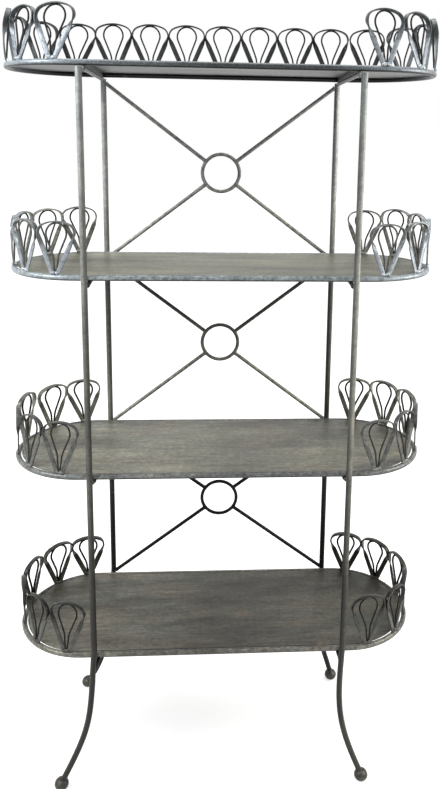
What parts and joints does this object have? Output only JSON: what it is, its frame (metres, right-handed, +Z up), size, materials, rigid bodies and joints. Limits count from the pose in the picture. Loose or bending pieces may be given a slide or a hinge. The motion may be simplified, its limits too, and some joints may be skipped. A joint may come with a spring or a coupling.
{
  "type": "storage rack",
  "caption": "Free-standing metal rack of oblong round-ended shelves on round uprights with splayed ball-foot legs, looped strip galleries and crossed rear braces.",
  "frame": {"origin": "on the floor under the middle of the rack", "axes": "+Z up, front faces -Y, length along X"},
  "size_m": [1.0012, 0.394, 1.8248],
  "materials": {
    "rod": "dark grey steel rod under clear lacquer, satin",
    "pan": "grey sheet steel brushed along its length, satin",
    "strip": "grey steel strip with ground welds, satin"
  },
  "bodies": {
    "root": {"upright_front_left": "rod", "foot_front_left": "rod", "upright_front_right": "rod", "foot_front_right": "rod", "upright_rear_left": "rod", "foot_rear_left": "rod", "upright_rear_right": "rod", "foot_rear_right": "rod", "shelf_1_rim": "rod", "shelf_1_pan": "pan", "shelf_1_cross_rod_left": "rod", "shelf_1_batten_left": "rod", "shelf_1_gallery_left": "strip", "shelf_1_cross_rod_right": "rod", "shelf_1_batten_right": "rod", "shelf_1_gallery_right": "strip", "shelf_2_rim": "rod", "shelf_2_pan": "pan", "shelf_2_cross_rod_left": "rod", "shelf_2_batten_left": "rod", "shelf_2_gallery_left": "strip", "shelf_2_cross_rod_right": "rod", "shelf_2_batten_right": "rod", "shelf_2_gallery_right": "strip", "shelf_3_rim": "rod", "shelf_3_pan": "pan", "shelf_3_cross_rod_left": "rod", "shelf_3_batten_left": "rod", "shelf_3_gallery_left": "strip", "shelf_3_cross_rod_right": "rod", "shelf_3_batten_right": "rod", "shelf_3_gallery_right": "strip", "shelf_4_rim": "rod", "shelf_4_pan": "pan", "shelf_4_cross_rod_left": "rod", "shelf_4_batten_left": "rod", "shelf_4_gallery_left": "strip", "shelf_4_cross_rod_right": "rod", "shelf_4_batten_right": "rod", "shelf_4_gallery_right": "strip", "rear_gallery": "strip", "brace_ring_1": "rod", "brace_rod_1_lower_left": "rod", "brace_rod_1_lower_right": "rod", "brace_rod_1_upper_left": "rod", "brace_rod_1_upper_right": "rod", "brace_ring_2": "rod", "brace_rod_2_lower_left": "rod", "brace_rod_2_lower_right": "rod", "brace_rod_2_upper_left": "rod", "brace_rod_2_upper_right": "rod", "brace_ring_3": "rod", "brace_rod_3_lower_left": "rod", "brace_rod_3_lower_right": "rod", "brace_rod_3_upper_left": "rod", "brace_rod_3_upper_right": "rod"}
  },
  "joints": []
}
